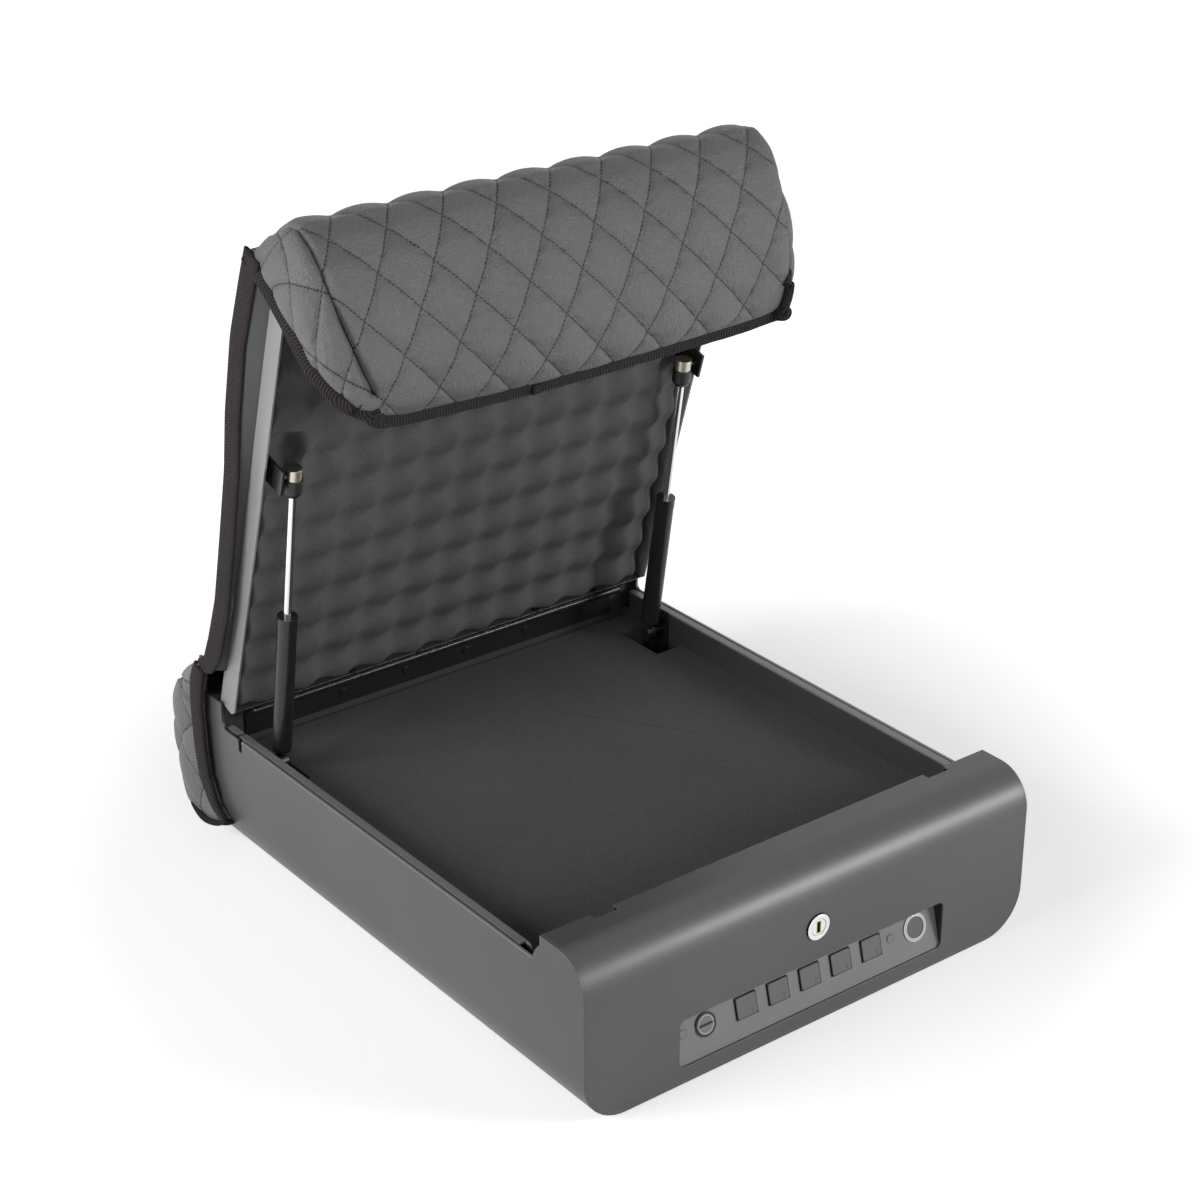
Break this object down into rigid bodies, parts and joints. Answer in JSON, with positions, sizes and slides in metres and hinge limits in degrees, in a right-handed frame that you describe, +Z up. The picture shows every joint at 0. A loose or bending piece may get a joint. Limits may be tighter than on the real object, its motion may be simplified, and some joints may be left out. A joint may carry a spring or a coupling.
{
  "type": "biometric safe",
  "caption": "Steel box safe with a fingerprint and key panel, a rear-hinged lid held open by gas struts, foam lining and a quilted leather cover with a front hood.",
  "frame": {"origin": "middle of the flat underside of the steel body, on the ground", "axes": "+X to the right as seen from the front, +Y to the rear, +Z up"},
  "size_m": [0.41, 0.5113, 0.5289],
  "materials": {
    "grey_powder_coat": "satin powder coat with a fine grain",
    "dark_powder_coat": "satin",
    "pale_powder_coat": "satin",
    "grey_foam": "matt open-cell foam",
    "grey_plastic": "fine matt",
    "black_plastic": "satin",
    "black_gloss": "polished",
    "bright_chrome": "polished",
    "green_board": "matt",
    "grey_cable": "matt",
    "black_steel": "gloss black",
    "zinc_steel": "zinc plated",
    "brass_parts": "plain",
    "grey_leather": "fine-grained leather, quilted in diamonds"
  },
  "bodies": {
    "base": {"body_shell": "grey_powder_coat", "front_cover": "grey_powder_coat", "bulkhead": "dark_powder_coat", "liner_left": "dark_powder_coat", "liner_right": "dark_powder_coat", "rear_rail": "dark_powder_coat", "rear_panel": "grey_powder_coat", "foam_block": "grey_foam", "foam_mat": "grey_foam", "panel_tray": "grey_plastic", "indicators": "black_plastic", "sensor_ring": "bright_chrome", "sensor_pad": "black_gloss", "key_board": "green_board", "power_socket": "black_plastic", "control_board": "black_plastic", "ribbon_cable": "grey_cable", "battery_box": "black_plastic", "battery_cells": "bright_chrome", "battery_door": "black_plastic", "lock_housing": "black_steel", "lock_nut": "zinc_steel", "latch_guides": "dark_powder_coat", "gear_motor": "zinc_steel", "motor_bracket": "dark_powder_coat", "hinge_base_leaf": "black_steel", "hinge_pin": "black_steel", "strut_foot_left": "black_steel", "strut_foot_right": "black_steel", "hinge_rivets_base": "black_steel", "apron": "grey_leather"},
    "lid": {"lid_pan": "pale_powder_coat", "lid_foam": "grey_foam", "lid_stud_left": "black_steel", "lid_stud_right": "black_steel", "strikers": "zinc_steel", "hinge_lid_leaf": "black_steel", "hinge_rivets_lid": "black_steel", "lid_cover": "grey_leather"},
    "hood": {"hood": "grey_leather"},
    "rod_left": {"rod_left": "bright_chrome", "socket_left": "black_plastic", "clip_left": "brass_parts"},
    "rod_right": {"rod_right": "bright_chrome", "socket_right": "black_plastic", "clip_right": "brass_parts"},
    "tube_left": {"tube_left": "black_steel", "collar_left": "black_steel"},
    "tube_right": {"tube_right": "black_steel", "collar_right": "black_steel"},
    "lock_plug": {"lock_plug": "bright_chrome", "lock_cam": "brass_parts"},
    "latch_bar": {"latch_bar": "zinc_steel"},
    "motor_crank": {"motor_crank": "zinc_steel"},
    "power_cap": {"power_cap": "grey_plastic"},
    "key_1": {"key_1": "grey_plastic"},
    "key_2": {"key_2": "grey_plastic"},
    "key_3": {"key_3": "grey_plastic"},
    "key_4": {"key_4": "grey_plastic"},
    "key_5": {"key_5": "grey_plastic"}
  },
  "joints": [
    {"name": "lid_hinge", "type": "hinge", "parent": "base", "child": "lid", "pos_m": [0, 0.2, 0.113], "axis": [1, 0, 0], "range_deg": [0, 73], "stiffness_Nm_per_rad": 6, "springref_deg": -57.3},
    {"name": "hood_swing", "type": "hinge", "parent": "lid", "child": "hood", "pos_m": [0, 0.09695, 0.49454], "axis": [1, 0, 0], "range_deg": [-74.2, 0]},
    {"name": "rod_left_swing", "type": "hinge", "parent": "lid", "child": "rod_left", "pos_m": [-0.176, 0.11886, 0.33393], "axis": [1, 0, 0], "range_deg": [0, 4.24]},
    {"name": "tube_left_slide", "type": "slide", "parent": "rod_left", "child": "tube_left", "axis": [0, -0.1611, 0.9869], "range_m": [0, 0.05491]},
    {"name": "rod_right_swing", "type": "hinge", "parent": "lid", "child": "rod_right", "pos_m": [0.176, 0.11886, 0.33393], "axis": [1, 0, 0], "range_deg": [0, 4.24]},
    {"name": "tube_right_slide", "type": "slide", "parent": "rod_right", "child": "tube_right", "axis": [0, -0.1611, 0.9869], "range_m": [0, 0.05491]},
    {"name": "lock_turn", "type": "hinge", "parent": "base", "child": "lock_plug", "pos_m": [0, -0.245, 0.0774], "axis": [0, -1, 0], "range_deg": [0, 90.1]},
    {"name": "latch_slide", "type": "slide", "parent": "base", "child": "latch_bar", "axis": [-1, 0, 0], "range_m": [0, 0.008]},
    {"name": "motor_turn", "type": "hinge", "parent": "base", "child": "motor_crank", "pos_m": [0.07, -0.221, 0.0774], "axis": [0, -1, 0], "range_deg": [0, 90.1]},
    {"name": "cap_turn", "type": "hinge", "parent": "base", "child": "power_cap", "pos_m": [-0.09303, -0.23799, 0.03393], "axis": [0, 0.9673, -0.2538], "range_deg": [0, 90]},
    {"name": "key_1_press", "type": "slide", "parent": "base", "child": "key_1", "axis": [0, 0.9673, -0.2538], "range_m": [0, 0.0008], "stiffness_N_per_m": 400},
    {"name": "key_2_press", "type": "slide", "parent": "base", "child": "key_2", "axis": [0, 0.9673, -0.2538], "range_m": [0, 0.0008], "stiffness_N_per_m": 400},
    {"name": "key_3_press", "type": "slide", "parent": "base", "child": "key_3", "axis": [0, 0.9673, -0.2538], "range_m": [0, 0.0008], "stiffness_N_per_m": 400},
    {"name": "key_4_press", "type": "slide", "parent": "base", "child": "key_4", "axis": [0, 0.9673, -0.2538], "range_m": [0, 0.0008], "stiffness_N_per_m": 400},
    {"name": "key_5_press", "type": "slide", "parent": "base", "child": "key_5", "axis": [0, 0.9673, -0.2538], "range_m": [0, 0.0008], "stiffness_N_per_m": 400}
  ],
  "couplings": [
    {"joint": "hood_swing", "follows": "lid_hinge", "ratio": -1.0137},
    {"joint": "rod_left_swing", "follows": "lid_hinge", "ratio": 0.057407},
    {"joint": "tube_left_slide", "follows": "lid_hinge", "m_per_rad": 0.043022},
    {"joint": "rod_right_swing", "follows": "lid_hinge", "ratio": 0.057407},
    {"joint": "tube_right_slide", "follows": "lid_hinge", "m_per_rad": 0.043022},
    {"joint": "lock_turn", "follows": "latch_slide", "rad_per_m": 196.35},
    {"joint": "motor_turn", "follows": "latch_slide", "rad_per_m": 196.35}
  ]
}
